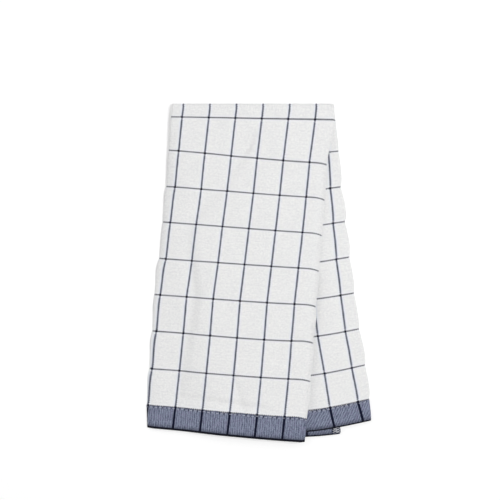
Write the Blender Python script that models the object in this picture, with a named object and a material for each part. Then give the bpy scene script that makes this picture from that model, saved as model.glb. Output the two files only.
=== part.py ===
"""Tea towel, folded in three across its width and then in half along its length.

The towel lies flat on its back half. Seen from above, +X is to the right, +Y runs from the
hems to the top fold and +Z is up. The origin is on the surface it lies on, under the middle.
The cloth is one sheet: a panel is folded in from the left edge, the panel from the right edge
is folded over it, and the strip of three layers is folded in half over the top fold. The two
halves splay apart, so the back half shows past the front half's right-hand fold.
Sizes are in millimetres up to the last step, which makes metres of them.
"""

from collections import namedtuple
from math import cos, hypot, pi, sin

import bmesh
import bpy

MM = 0.001

# The cloth
CLOTH_THICKNESS = 1.0
HEM_THICKNESS = 1.3
HEM_DEPTH = 21.0
HEM_STEP = 0.8

# The stack of six layers
LAYER_PITCH = 1.7
LAYERS = 6
MID_STACK = (LAYERS - 1) / 2
TURNED_OVER, TURNED_IN, OUTSIDE = 0.5, 1.5, 2.5  # layers from the middle of the stack, for the three panels

# The top fold: how far up its outside reaches, and where it ends to the left and right
FOLD_TOP = 151.2
FOLD_LEFT, FOLD_RIGHT = -78.3, 68.0
FOLD_LINE = FOLD_TOP - OUTSIDE * LAYER_PITCH - CLOTH_THICKNESS / 2

# How the front half sinks to the surface past the left edge of the back half's top layer
SINK_RUN = 42.0

# How the front is drawn down close to its right-hand fold
DRAWN_DOWN = 2.0
DRAWN_WIDTH = 10.0

# How far the turned-in panel's hem hangs below its neighbours at its far edge, in each half
BACK_HANG = 10.2
FRONT_HANG = -2.0

# Segments: along each stretch between rows, around the folds and across the middle panel
STRETCH_SEGMENTS = 4
HEM_SEGMENTS = 2
TOP_SEGMENTS = 5
TOP_FOLD_SEGMENTS = 8
LEFT_FOLD_SEGMENTS = 6
RIGHT_FOLD_SEGMENTS = 7
MIDDLE_SEGMENTS = 10
TURNED_IN_STEPS = 7  # of the middle panel's inner steps, from its left fold
TURNED_OVER_STEPS = 8  # and from its right fold

COLOUR = (0.80, 0.80, 0.78, 1.0)
ROUGHNESS = 0.95

# One row of the weave in each line, from the hem to the top fold: its distance from the hem's
# end along the cloth, where it meets the left and the right fold, how far the folds bulge
# between it and the next row, how far it sags below its chord, and the widths of the
# turned-in and the turned-over panels there.
Row = namedtuple(
    "Row", "along left_x left_y right_x right_y left_bulge right_bulge sag turned_in turned_over"
)

FRONT_ROWS = (
    Row(0.0, -100.8, -140.5, 41.2, -151.6, 0.0, 0.4, 0.0, 127.0, 131.4),
    Row(21.0, -101.2, -120.3, 43.2, -130.7, 0.9, 1.2, 0.0, 126.2, 131.7),
    Row(53.8, -98.5, -87.3, 46.4, -96.9, 1.2, 1.2, 0.5, 124.9, 132.2),
    Row(86.6, -95.8, -54.0, 48.8, -63.2, 0.7, 1.4, 0.7, 123.6, 132.8),
    Row(119.4, -94.0, -21.4, 51.2, -30.2, 1.6, 0.8, 0.3, 122.4, 133.3),
    Row(152.2, -89.8, 11.3, 54.0, 1.9, 0.5, 0.7, 0.2, 121.1, 133.8),
    Row(185.0, -86.8, 43.9, 56.8, 34.2, 1.0, 0.7, 0.2, 119.8, 134.3),
    Row(217.8, -83.8, 76.2, 59.2, 66.3, 0.4, 1.2, 0.2, 118.6, 134.8),
    Row(250.6, -81.6, 108.9, 61.1, 97.5, 0.5, 1.8, 0.0, 117.8, 135.2),
    Row(298.0, FOLD_LEFT, FOLD_LINE, FOLD_RIGHT, FOLD_LINE, 0.0, 0.0, 0.0, 117.5, 135.5),
)

BACK_ROWS = (
    Row(0.0, -45.9, -143.1, 101.4, -134.6, 0.0, 0.4, 7.7, 120.8, 134.4),
    Row(21.0, -48.2, -122.9, 99.5, -116.1, 1.0, 1.6, 8.7, 120.6, 134.5),
    Row(53.8, -51.6, -91.2, 95.0, -85.2, 1.2, 1.6, 9.0, 120.2, 134.6),
    Row(86.6, -55.1, -59.6, 89.5, -52.7, 0.8, 1.0, 6.8, 119.9, 134.7),
    Row(119.4, -58.5, -27.9, 84.8, -20.3, 1.0, 1.3, 5.5, 119.5, 134.8),
    Row(152.2, -62.1, 3.8, 80.6, 12.2, 0.7, 1.8, 5.2, 119.2, 134.9),
    Row(185.0, -65.6, 35.4, 76.5, 44.4, 1.0, 2.2, 4.6, 118.8, 135.0),
    Row(217.8, -69.1, 67.1, 72.9, 75.7, 0.8, 1.4, 4.0, 118.4, 135.1),
    Row(250.6, -72.5, 98.7, 71.3, 108.0, 0.5, 0.4, 2.0, 118.0, 135.3),
    Row(302.0, FOLD_LEFT, FOLD_LINE, FOLD_RIGHT, FOLD_LINE, 0.0, 0.0, 0.0, 117.5, 135.5),
)

# A half of the towel: its rows, which way its layers count from the middle of the stack, how
# far the turned-in panel hangs, how far the rows are drawn down, and where along a stretch
# the folds bulge most, as the power that skews the bulge.
Half = namedtuple("Half", "rows way hang drawn left_skew right_skew")
FRONT = Half(FRONT_ROWS, 1, FRONT_HANG, DRAWN_DOWN, 2.0, 1.6)
BACK = Half(BACK_ROWS, -1, BACK_HANG, 0.0, 1.0, 0.7)

# A place across the folded strip: its share of the way from the left to the right fold, less
# the folds' own width in layers' pitches, its layer, and how much of the panel's hang it has.
Across = namedtuple("Across", "share inset layer hang")


def between(start, end, share):
    """The value that lies this share of the way from start to end."""
    return start + (end - start) * share


def smooth(share):
    """An S-shaped ramp from 0 to 1."""
    share = min(max(share, 0.0), 1.0)
    return share * share * (3 - 2 * share)


def row_between(half, lower, upper, share):
    """The row between two rows of the table, with its folds bulged out."""
    row = Row(*(between(a, b, share) for a, b in zip(lower, upper)))
    return row._replace(
        left_x=row.left_x - lower.left_bulge * sin(pi * share**half.left_skew),
        right_x=row.right_x + lower.right_bulge * sin(pi * share**half.right_skew),
    )


def rows_of(half):
    """All rows of a half, from the hem's end to the top fold."""
    rows = []
    for lower, upper in zip(half.rows, half.rows[1:]):
        segments = STRETCH_SEGMENTS
        if lower.along < HEM_DEPTH:
            segments = HEM_SEGMENTS
        elif upper is half.rows[-1]:
            segments = TOP_SEGMENTS
        shares = [n / segments for n in range(segments)]
        if upper.along == HEM_DEPTH:
            shares.append(1 - HEM_STEP / 2 / HEM_DEPTH)
        if lower.along == HEM_DEPTH:
            shares[0] = HEM_STEP / 2 / (upper.along - lower.along)
        rows += [row_between(half, lower, upper, share) for share in shares]
    return rows + [half.rows[-1]]


def panel_edges(row):
    """The shares of the row at which the turned-in and the turned-over panels end."""
    width = hypot(row.right_x - row.left_x, row.right_y - row.left_y)
    return row.turned_in / width, 1 - row.turned_over / width


def across_the_strip(row):
    """The places across the strip, from the turned-in panel's edge to the turned-over one's."""
    in_end, over_end = panel_edges(row)
    steps = [n / MIDDLE_SEGMENTS for n in range(MIDDLE_SEGMENTS + 1)]
    inner = steps[1:-1]
    places = [Across(in_end, 0.0, TURNED_IN, 1.0)]
    places += [Across(s, 0.0, TURNED_IN, 1.0) for s in reversed(inner[:TURNED_IN_STEPS])]
    for n in range(LEFT_FOLD_SEGMENTS + 1):
        angle = pi * (n / LEFT_FOLD_SEGMENTS - 0.5)
        radius = (OUTSIDE - TURNED_IN) / 2
        middle = (OUTSIDE + TURNED_IN) / 2
        places.append(Across(0.0, radius * (1 - cos(angle)), middle + radius * sin(angle), 0.0))
    places += [Across(s, 0.0, OUTSIDE, 0.0) for s in inner]
    for n in range(RIGHT_FOLD_SEGMENTS + 1):
        angle = pi * (0.5 - n / RIGHT_FOLD_SEGMENTS)
        radius = (OUTSIDE - TURNED_OVER) / 2
        middle = (OUTSIDE + TURNED_OVER) / 2
        places.append(Across(1.0, radius * (cos(angle) - 1), middle + radius * sin(angle), 0.0))
    places += [Across(s, 0.0, TURNED_OVER, 0.0) for s in reversed(inner[-TURNED_OVER_STEPS:])]
    places.append(Across(over_end, 0.0, TURNED_OVER, 0.0))
    return places


def hemmed(row):
    """1 in the hem, 0 in the rest of the cloth, and between them on the hem's step."""
    return 1 - smooth((row.along - HEM_DEPTH) / HEM_STEP + 0.5)


def thickness(row):
    return between(CLOTH_THICKNESS, HEM_THICKNESS, hemmed(row))


def plan(half, row, place):
    """Where a place on a row lies, seen from above."""
    width = hypot(row.right_x - row.left_x, row.right_y - row.left_y)
    edge = CLOTH_THICKNESS / 2 / width
    share = between(edge, 1 - edge, place.share) + place.inset * LAYER_PITCH / width
    x = between(row.left_x, row.right_x, share)
    y = between(row.left_y, row.right_y, share) - row.sag * sin(pi * share)
    near_fold = 1 - (1 - share) * width / DRAWN_WIDTH
    fade = max(0.0, 1 - row.along / half.rows[-1].along)
    y -= half.drawn * max(near_fold, 0.0) ** 2 * smooth(4 * fade)
    y -= half.hang * place.hang * share**2 * fade
    return x, y


def support_edge(y):
    """The x of the left edge of the back half's top layer at this height up the towel."""
    rows = BACK_ROWS
    for lower, upper in zip(rows, rows[1:]):
        if y < upper.left_y:
            break
    share = max((y - lower.left_y) / (upper.left_y - lower.left_y), 0.0)
    row = Row(*(between(a, b, share) for a, b in zip(lower, upper)))
    return between(row.left_x, row.right_x, panel_edges(row)[1])


def sunk(half, x, y):
    """How far the front half has sunk at a point past the layer that carries it."""
    if half is BACK:
        return 0.0
    past = (support_edge(y) - x) / SINK_RUN
    return (MID_STACK + 0.5) * LAYER_PITCH * smooth(past)


def flat_point(half, row, place):
    """A point on the flat part of a half."""
    x, y = plan(half, row, place)
    z = (MID_STACK + half.way * place.layer) * LAYER_PITCH + thickness(row) / 2
    return x, y, z - sunk(half, x, y)


def fold_point(place, angle):
    """A point on the top fold, at an angle that falls from the front half to the back half."""
    row = FRONT_ROWS[-1]
    x, y = plan(BACK, row, place)
    radius = place.layer * LAYER_PITCH
    z = MID_STACK * LAYER_PITCH + CLOTH_THICKNESS / 2 + radius * sin(angle)
    return x, y + radius * cos(angle), z


def sheet_points():
    """The folded sheet's points, a row at a time from the front hem to the back hem, and how
    much of a hem each row is."""
    rows, hems = [], []
    for row in rows_of(FRONT):
        rows.append([flat_point(FRONT, row, place) for place in across_the_strip(row)])
        hems.append(hemmed(row))
    for n in range(1, TOP_FOLD_SEGMENTS):
        angle = pi * (0.5 - n / TOP_FOLD_SEGMENTS)
        rows.append([fold_point(place, angle) for place in across_the_strip(FRONT_ROWS[-1])])
        hems.append(0.0)
    for row in reversed(rows_of(BACK)):
        rows.append([flat_point(BACK, row, place) for place in across_the_strip(row)])
        hems.append(hemmed(row))
    return rows, hems


def cloth_material():
    material = bpy.data.materials.new("cotton")
    material.use_nodes = True
    shader = material.node_tree.nodes["Principled BSDF"]
    shader.inputs["Base Color"].default_value = COLOUR
    shader.inputs["Roughness"].default_value = ROUGHNESS
    shader.inputs["Metallic"].default_value = 0.0
    return material


def tea_towel():
    """The sheet on its folds, thickened evenly to both sides, and more so in its hems."""
    rows, hems = sheet_points()
    sheet = bmesh.new()
    grid = [[sheet.verts.new([MM * value for value in point]) for point in row] for row in rows]
    for row, after in zip(grid, grid[1:]):
        for n in range(len(row) - 1):
            sheet.faces.new((row[n], after[n], after[n + 1], row[n + 1])).smooth = True
    mesh = bpy.data.meshes.new("tea_towel")
    sheet.to_mesh(mesh)
    sheet.free()
    mesh.materials.append(cloth_material())

    towel = bpy.data.objects.new("tea_towel", mesh)
    bpy.context.collection.objects.link(towel)
    hem = towel.vertex_groups.new(name="hem")
    across = len(rows[0])
    for n, weight in enumerate(hems):
        hem.add(range(n * across, (n + 1) * across), weight, "REPLACE")
    solid = towel.modifiers.new("thickness", "SOLIDIFY")
    solid.thickness = HEM_THICKNESS * MM
    solid.offset = 0.0
    solid.use_even_offset = True
    solid.use_quality_normals = True
    solid.vertex_group = hem.name
    solid.thickness_vertex_group = CLOTH_THICKNESS / HEM_THICKNESS
    return towel


def stand_on_origin(towel):
    """Moves the towel sideways until the origin is under the middle of its box."""
    box = towel.evaluated_get(bpy.context.evaluated_depsgraph_get()).bound_box
    for axis in range(2):
        values = [corner[axis] for corner in box]
        towel.location[axis] = -(min(values) + max(values)) / 2


def main():
    for item in list(bpy.data.objects):
        bpy.data.objects.remove(item, do_unlink=True)
    stand_on_origin(tea_towel())


main()
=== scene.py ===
"""Checked tea towel, folded in three across its width and then in half along its length.

A place on the flat cloth is u, across it from the turned-in panel's selvedge, and v, along it
from the front hem. Its face is the side that shows: the outside of the middle panel and of the
panel turned over last. Seen from above, x is to the right, y runs from the hems to the top
fold and z is up. Sizes are in millimetres up to the making of each mesh.
"""

from __future__ import annotations

import logging
from collections.abc import Callable, Iterator, Mapping, Sequence
from dataclasses import dataclass, field
from enum import Enum
from math import cos, exp, hypot, pi, sin, sqrt
from typing import Any, NamedTuple

import bpy
import numpy as np
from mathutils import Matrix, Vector, noise


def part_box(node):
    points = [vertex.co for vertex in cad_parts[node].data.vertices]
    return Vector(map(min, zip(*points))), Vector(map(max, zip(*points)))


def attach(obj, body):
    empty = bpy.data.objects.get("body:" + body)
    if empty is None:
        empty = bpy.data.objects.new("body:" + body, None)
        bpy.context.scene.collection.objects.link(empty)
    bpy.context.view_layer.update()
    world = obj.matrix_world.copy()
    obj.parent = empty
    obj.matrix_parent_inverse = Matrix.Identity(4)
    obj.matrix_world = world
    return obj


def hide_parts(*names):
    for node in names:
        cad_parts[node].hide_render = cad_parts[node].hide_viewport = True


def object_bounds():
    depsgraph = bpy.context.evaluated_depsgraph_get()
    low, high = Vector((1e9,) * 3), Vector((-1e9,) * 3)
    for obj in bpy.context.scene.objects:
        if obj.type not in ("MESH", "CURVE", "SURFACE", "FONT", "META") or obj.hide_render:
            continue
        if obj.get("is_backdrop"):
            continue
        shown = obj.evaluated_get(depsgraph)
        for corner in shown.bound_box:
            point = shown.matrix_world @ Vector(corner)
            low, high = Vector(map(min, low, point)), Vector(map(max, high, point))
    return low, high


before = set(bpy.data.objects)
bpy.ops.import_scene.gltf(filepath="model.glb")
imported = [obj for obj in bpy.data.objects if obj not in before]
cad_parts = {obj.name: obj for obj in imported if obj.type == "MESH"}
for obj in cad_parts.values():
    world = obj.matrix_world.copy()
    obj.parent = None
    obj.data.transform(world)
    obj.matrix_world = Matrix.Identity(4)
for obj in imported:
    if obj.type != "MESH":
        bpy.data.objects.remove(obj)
cad_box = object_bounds()

log = logging.getLogger("tea_towel")

MM = 0.001
BODY = "root"
TOWEL_NODE = "tea_towel"
CLOTH_MAP = "cloth_plan"

Point = tuple[float, float]
Tone = tuple[float, float, float, float]


def between(start: float, end: float, share: float) -> float:
    """Return the value that lies this share of the way from start to end."""
    return start + (end - start) * share


def clamped(value: float) -> float:
    """Return the value, kept between 0 and 1."""
    return min(max(value, 0.0), 1.0)


def smooth(share: float) -> float:
    """Return an S-shaped ramp from 0 to 1."""
    share = clamped(share)
    return share * share * (3 - 2 * share)


def steps(start: float, end: float, count: int) -> list[float]:
    """Return evenly spaced values from start up to, but not including, end."""
    return [between(start, end, n / count) for n in range(count)]


def ripple(scale: float, *place: float) -> float:
    """Return soft natural unevenness, from about -1 to 1.

    Args:
        scale: The size of one swelling, in the place's own unit.
        place: Up to three coordinates.

    Returns:
        The height of the unevenness there.
    """
    spread = [value / scale for value in place] + [0.0] * (3 - len(place))
    return noise.noise(Vector(spread))


# The cloth ---------------------------------------------------------------------------------


@dataclass(frozen=True)
class Cloth:
    """The flat cloth: its size, its hems and the lines of its check.

    The cloth is thinner by channel_depth, on each face, along the lines of the check. Between
    them its terry swells unevenly, and it puckers up to pucker_reach above its hems. The sizes
    of a swelling and of a pucker are swell_size and pucker_size. corner is how far from each
    corner its edges start to turn.
    """

    width: float = 400.0
    length: float = 600.0
    thickness: float = 1.0
    hem_thickness: float = 1.3
    hem_depth: float = 21.0
    hem_step: float = 0.8
    first_warp_line: float = 6.4
    warp_pitch: float = 24.2
    first_weft_line: float = 21.0
    weft_pitch: float = 32.8
    channel_depth: float = 0.2
    channel_reach: float = 2.0
    swell: float = 0.05
    swell_size: float = 7.0
    pucker: float = 0.13
    pucker_size: float = 5.0
    pucker_reach: float = 14.0
    thinnest_edge: float = 0.25
    corner: float = 2.4

    def from_hem(self, v: float) -> float:
        """Return the distance to the nearer hem's end."""
        return min(v, self.length - v)

    def from_selvedge(self, u: float) -> float:
        """Return the distance to the nearer selvedge."""
        return min(u, self.width - u)

    def off_warp_line(self, u: float) -> float:
        """Return the distance across to the nearest line that runs along the cloth."""
        half = self.warp_pitch / 2
        return abs((u - self.first_warp_line + half) % self.warp_pitch - half)

    def off_weft_line(self, v: float) -> float:
        """Return the distance along to the nearest line that runs across the cloth."""
        half = self.weft_pitch / 2
        return abs((v - self.first_weft_line + half) % self.weft_pitch - half)

    def hemmed(self, v: float) -> float:
        """Return 1 in a hem, 0 in the rest of the cloth, and between them on the hem's step."""
        return 1 - smooth((self.from_hem(v) - self.hem_depth) / self.hem_step + 0.5)

    def in_corner(self, u: float, v: float) -> Point:
        """Move a place in from a corner, so that the cloth's four corners come out round.

        Args:
            u: The place across the cloth.
            v: The place along the cloth.

        Returns:
            The place moved in, which is the same one away from the corners.
        """
        across = 1 - self.from_selvedge(u) / self.corner
        along = 1 - self.from_hem(v) / self.corner
        if across <= 0 or along <= 0:
            return u, v
        side = self.corner * (1 - across * sqrt(1 - along**2 / 2))
        end = self.corner * (1 - along * sqrt(1 - across**2 / 2))
        u = side if u < self.width / 2 else self.width - side
        return u, end if v < self.length / 2 else self.length - end

    def thickness_at(self, u: float, v: float) -> float:
        """Work out how thick the cloth is at a place.

        The checks swell a little between the flatter lines, the cloth puckers above its hems,
        and its edges are round.

        Args:
            u: The place across the cloth.
            v: The place along the cloth.

        Returns:
            The thickness there.
        """
        hemmed = self.hemmed(v)
        unhemmed = 1 - hemmed
        whole = between(self.thickness, self.hem_thickness, hemmed)
        off_line = min(self.off_warp_line(u), self.off_weft_line(v))
        channel = exp(-((off_line / self.channel_reach) ** 2))
        whole -= 2 * self.channel_depth * channel * unhemmed
        whole += self.swell * ripple(self.swell_size, u, v, 4.0) * unhemmed
        above_hem = max(self.from_hem(v) - self.hem_depth, 0.0)
        pucker = self.pucker * exp(-above_hem / self.pucker_reach)
        whole += pucker * ripple(self.pucker_size, u, 0.6 * v, 9.0) * unhemmed
        edge = min(self.from_hem(v), self.from_selvedge(u)) / (whole / 2)
        return whole * max(sqrt(max(1 - (1 - clamped(edge)) ** 2, 0.0)), self.thinnest_edge)


# The folds ---------------------------------------------------------------------------------


class Row(NamedTuple):
    """One row of the weave across the folded strip.

    along is its distance from the hem's end. It meets the left and the right fold at the two
    points that follow, and up to the next row the folds bulge out by the two bulges. sag is
    how far it hangs below its chord and bow how far its lines lean to the left of an even
    spacing. turned_in and turned_over are how wide the two panels lie. over_start is the place
    on the flat cloth where the right fold starts, and spread how much the panel turned over
    there is drawn out next to it.
    """

    along: float
    left_x: float
    left_y: float
    right_x: float
    right_y: float
    left_bulge: float
    right_bulge: float
    sag: float
    bow: float
    turned_in: float
    turned_over: float
    over_start: float
    spread: float

    @property
    def width(self) -> float:
        """The distance between the two folds."""
        return hypot(self.right_x - self.left_x, self.right_y - self.left_y)


class Place(NamedTuple):
    """A place across the folded strip.

    share is its share of the way from the left to the right fold, inset how far the fold's own
    roundness moves it from there, layer how many layers it is from the middle of the stack,
    and hang how much of the turned-in panel's hang it has.
    """

    share: float
    inset: float
    layer: float
    hang: float


@dataclass(frozen=True)
class Half:
    """One of the two halves that the towel's length is folded into.

    way is 1 where its layers are counted up from the middle of the stack, and -1 where they
    are counted down. hang is how far the turned-in panel's hem hangs below its neighbours at
    its far edge, and drawn how far the rows are drawn down close to the right fold. The skews
    are powers that move the place where a fold bulges, or a row sags, the most.
    """

    rows: tuple[Row, ...]
    way: int
    hang: float
    drawn: float
    left_skew: float
    right_skew: float
    sag_skew: float

    def row_at(self, along: float) -> tuple[Row, float, float]:
        """Find the row at a distance from the hem's end.

        Args:
            along: The distance from the hem's end.

        Returns:
            The row, and how far the left and the right fold bulge out at it.
        """
        lower, upper = self.rows[0], self.rows[1]
        for lower, upper in zip(self.rows, self.rows[1:]):
            if along <= upper.along:
                break
        share = clamped((along - lower.along) / (upper.along - lower.along))
        row = Row(*(between(a, b, share) for a, b in zip(lower, upper)))
        left = lower.left_bulge * sin(pi * share**self.left_skew)
        right = lower.right_bulge * sin(pi * share**self.right_skew)
        return row, left, right


class Form(Enum):
    """The section of a crease: a hollow, or a step down towards its left side."""

    TROUGH = "trough"
    STEP = "step"


@dataclass(frozen=True)
class Crease:
    """A soft crease over the stack, along a line of points seen from above."""

    form: Form
    line: tuple[Point, ...]
    reach: float
    height: float

    def nearest(self, x: float, y: float) -> tuple[float, float]:
        """Find the crease's distance from a point.

        Args:
            x: The point's place to the right.
            y: The point's place up the towel.

        Returns:
            The distance to the line, and the same with a minus sign on the line's left side.
        """
        best, signed = 1e9, 1e9
        for (ax, ay), (bx, by) in zip(self.line, self.line[1:]):
            run_x, run_y = bx - ax, by - ay
            share = clamped(((x - ax) * run_x + (y - ay) * run_y) / (run_x**2 + run_y**2))
            off_x, off_y = x - ax - share * run_x, y - ay - share * run_y
            distance = hypot(off_x, off_y)
            if distance < best:
                best = distance
                signed = distance if run_x * off_y - run_y * off_x < 0 else -distance
        return best, signed

    def rise(self, x: float, y: float) -> float:
        """Work out how much the crease lifts the top of the stack.

        Args:
            x: The point's place to the right.
            y: The point's place up the towel.

        Returns:
            The lift at the point, below 0 where the stack lies lower.
        """
        distance, signed = self.nearest(x, y)
        if self.form is Form.STEP:
            side = smooth(0.5 + signed / self.reach / 2)
            return self.height * (side - 1) * exp(-((distance / self.reach / 3) ** 2))
        return -self.height * exp(-((distance / self.reach) ** 2))


LONG_CREASE = Crease(
    Form.STEP,
    (
        (-68.0, -102.0),
        (-63.0, -72.0),
        (-57.5, -44.0),
        (-54.5, -22.0),
        (-56.5, -3.0),
        (-60.0, 18.0),
        (-57.5, 39.0),
        (-51.6, 52.2),
        (-42.6, 62.4),
        (-31.0, 72.4),
        (-22.4, 85.0),
        (-14.0, 98.0),
        (-10.0, 106.0),
    ),
    reach=5.2,
    height=3.4,
)
HEM_PUCKER = Crease(
    Form.STEP,
    ((0.0, -121.0), (-22.0, -118.0), (-45.0, -114.5), (-76.0, -111.0)),
    reach=2.6,
    height=1.6,
)
CREASE_UP_FROM_HEM = Crease(
    Form.STEP,
    ((-14.0, -119.0), (-17.0, -108.0), (-21.0, -96.0)),
    reach=2.6,
    height=1.5,
)
SHORT_CREASE = Crease(
    Form.STEP,
    ((31.0, -62.0), (20.0, -68.0), (10.0, -75.0)),
    reach=3.6,
    height=1.2,
)
DIP_BESIDE_FRONT = Crease(
    Form.TROUGH,
    ((51.5, -10.0), (50.8, -38.0), (49.2, -66.0), (47.4, -98.0), (45.5, -120.0), (43.5, -146.0)),
    reach=6.8,
    height=3.7,
)


@dataclass(frozen=True)
class FoldedLie:
    """How the cloth lies: the way from a place on the flat cloth to its place in the towel.

    The layers are pitch apart, and are numbered from the middle of the stack, which is
    mid_stack layers up. The top fold's outside reaches up to fold_top, between fold_left and
    fold_right. Past the left edge of the layers below it the front sinks within sink_run. The
    widths are how far in from a fold the rows are drawn down, bulged, drawn out or rolled off,
    and a roll is the part of its height that the front loses at the fold. The stack swells
    and ruffles a little all over. The creases lie over both halves, the back's own ones over
    the back half alone.
    """

    cloth: Cloth = Cloth()
    pitch: float = 1.7
    mid_stack: float = 2.5
    turned_over_layer: float = 0.5
    turned_in_layer: float = 1.5
    outside_layer: float = 2.5
    fold_top: float = 151.2
    fold_left: float = -78.3
    fold_right: float = 68.0
    front_length: float = 298.0
    fold_start: float = 292.0
    fold_end: float = 304.0
    sink_run: float = 42.0
    drawn_width: float = 10.0
    bulge_width: float = 8.0
    spread_width: float = 60.0
    right_roll: float = 0.5
    right_roll_width: float = 5.5
    left_roll: float = 0.5
    left_roll_width: float = 8.0
    hang_skew: float = 1.2
    fold_fade: float = 4.0
    swell: float = 0.2
    swell_size: float = 34.0
    ruffle: float = 0.04
    ruffle_size: float = 13.0
    front: Half = field(init=False)
    back: Half = field(init=False)
    creases: tuple[Crease, ...] = (LONG_CREASE, HEM_PUCKER, CREASE_UP_FROM_HEM, SHORT_CREASE)
    back_creases: tuple[Crease, ...] = (DIP_BESIDE_FRONT,)

    def __post_init__(self) -> None:
        """Lay out the rows of both halves."""
        line = self.fold_top - self.outside_layer * self.pitch - self.cloth.thickness / 2
        ends = (self.fold_left, line, self.fold_right, line, 0.0, 0.0, 0.0, 0.0, 117.5, 135.5, 264.5, 1.0)
        front = (
            Row(0.0, -100.9, -141.8, 41.2, -154.3, 0.0, 0.4, 0.5, 0.0, 129.4, 131.4, 268.1, 1.0),
            Row(21.0, -101.6, -121.3, 43.2, -131.9, 1.1, 1.2, 0.9, 0.0, 126.4, 131.7, 267.7, 1.0),
            Row(53.8, -99.2, -88.3, 46.4, -97.9, 1.4, 1.2, 0.7, 0.1, 125.0, 132.2, 267.6, 1.0),
            Row(86.6, -96.5, -54.3, 48.8, -63.2, 0.8, 1.4, 1.3, 0.3, 123.8, 132.8, 267.3, 1.0),
            Row(119.4, -94.6, -21.4, 51.2, -30.5, 1.7, 0.8, 0.7, 0.8, 122.3, 133.3, 266.9, 1.0),
            Row(152.2, -90.3, 11.3, 54.0, 1.6, 0.5, 0.7, 0.2, 1.0, 121.1, 133.8, 266.3, 1.0),
            Row(185.0, -86.9, 44.2, 56.8, 33.6, 1.0, 0.7, 0.3, 0.9, 120.5, 134.3, 265.5, 1.0),
            Row(217.8, -83.8, 76.2, 59.2, 65.6, 0.4, 1.2, 0.5, 0.4, 119.2, 134.8, 265.0, 1.0),
            Row(250.6, -81.6, 108.9, 61.1, 96.7, 0.5, 1.8, 0.8, 0.0, 118.2, 135.2, 264.1, 1.0),
            Row(self.front_length, *ends),
        )
        back = (
            Row(0.0, -45.9, -143.6, 101.4, -135.2, 0.0, 0.4, 7.7, 0.0, 120.8, 134.4, 264.3, 1.077),
            Row(21.0, -48.2, -122.9, 99.7, -116.1, 1.0, 1.6, 8.7, 0.0, 120.6, 134.5, 261.3, 1.054),
            Row(53.8, -51.6, -91.2, 96.2, -85.2, 1.2, 1.6, 9.0, 0.0, 120.2, 134.6, 259.1, 1.025),
            Row(86.6, -55.1, -59.6, 90.8, -52.7, 0.8, 1.0, 6.8, 0.0, 119.9, 134.7, 258.7, 1.029),
            Row(119.4, -58.5, -27.9, 86.2, -20.3, 1.0, 1.3, 5.5, 0.0, 119.5, 134.8, 259.0, 1.02),
            Row(152.2, -62.1, 3.8, 81.9, 12.2, 0.7, 1.8, 5.2, 0.0, 119.2, 134.9, 259.4, 1.02),
            Row(185.0, -65.6, 35.4, 77.9, 44.4, 1.0, 2.2, 4.6, 0.0, 118.8, 135.0, 260.4, 1.02),
            Row(217.8, -69.1, 67.1, 74.1, 75.7, 0.8, 1.4, 4.0, 0.0, 118.4, 135.1, 261.6, 1.01),
            Row(250.6, -72.5, 98.7, 72.2, 108.0, 0.5, 0.4, 2.0, 0.0, 118.0, 135.3, 261.7, 1.0),
            Row(self.cloth.length - self.front_length, *ends),
        )
        upper = Half(front, 1, hang=-2.0, drawn=2.0, left_skew=2.0, right_skew=1.6, sag_skew=1.8)
        lower = Half(back, -1, hang=8.2, drawn=0.0, left_skew=1.0, right_skew=0.7, sag_skew=1.0)
        object.__setattr__(self, "front", upper)
        object.__setattr__(self, "back", lower)

    @property
    def left_radius(self) -> float:
        """The radius of the left fold's middle line."""
        return (self.outside_layer - self.turned_in_layer) / 2 * self.pitch

    @property
    def right_radius(self) -> float:
        """The radius of the right fold's middle line."""
        return (self.outside_layer - self.turned_over_layer) / 2 * self.pitch

    def along_of(self, v: float) -> tuple[Half, float, float | None]:
        """Find the half that a place along the cloth is in.

        Args:
            v: The place along the cloth.

        Returns:
            The half, the row's distance from the hem's end, and on the top fold the angle,
            which falls from the front half to the back half.
        """
        if self.fold_start <= v <= self.fold_end:
            share = (v - self.fold_start) / (self.fold_end - self.fold_start)
            half = self.front if share < 0.5 else self.back
            return half, half.rows[-1].along, pi * (0.5 - share)
        half = self.front if v < self.fold_start else self.back
        from_end = v if half is self.front else self.cloth.length - v
        last = half.rows[-2].along
        if from_end <= last:
            return half, from_end, None
        reach = self.fold_start if half is self.front else self.cloth.length - self.fold_end
        share = (from_end - last) / (reach - last)
        return half, between(last, half.rows[-1].along, share), None

    def across(self, row: Row, u: float) -> Place:
        """Find the place across the folded strip of a place across the cloth.

        Args:
            row: The row of the weave.
            u: The place across the cloth.

        Returns:
            The place across the strip.
        """
        left, right = self.left_radius, self.right_radius
        left_end = row.turned_in + left
        left_start = left_end - pi * left
        right_start = row.over_start - right
        right_end = right_start + pi * right
        if u < left_start:
            share = u / left_start
            edge = row.turned_in / row.width
            return Place(between(edge, 0.0, share), left * share, self.turned_in_layer, 1.0)
        if u < left_end:
            angle = pi * ((u - left_start) / (left_end - left_start) - 0.5)
            middle = (self.outside_layer + self.turned_in_layer) / 2
            return Place(0.0, left * (1 - cos(angle)), middle + left / self.pitch * sin(angle), 0.0)
        if u < right_start:
            flat = (u - row.turned_in) / (row.over_start - row.turned_in)
            return Place(flat, 0.0, self.outside_layer, 0.0)
        if u < right_end:
            angle = pi * (0.5 - (u - right_start) / (right_end - right_start))
            middle = (self.outside_layer + self.turned_over_layer) / 2
            return Place(1.0, right * (cos(angle) - 1), middle + right / self.pitch * sin(angle), 0.0)
        near = min(u - right_end, self.spread_width)
        beyond = (u - right_end - near) / (self.cloth.width - right_end - self.spread_width)
        spread = right + near * row.spread
        distance = between(spread, row.turned_over, max(beyond, 0.0))
        return Place(1 - distance / row.width, 0.0, self.turned_over_layer, 0.0)

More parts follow.
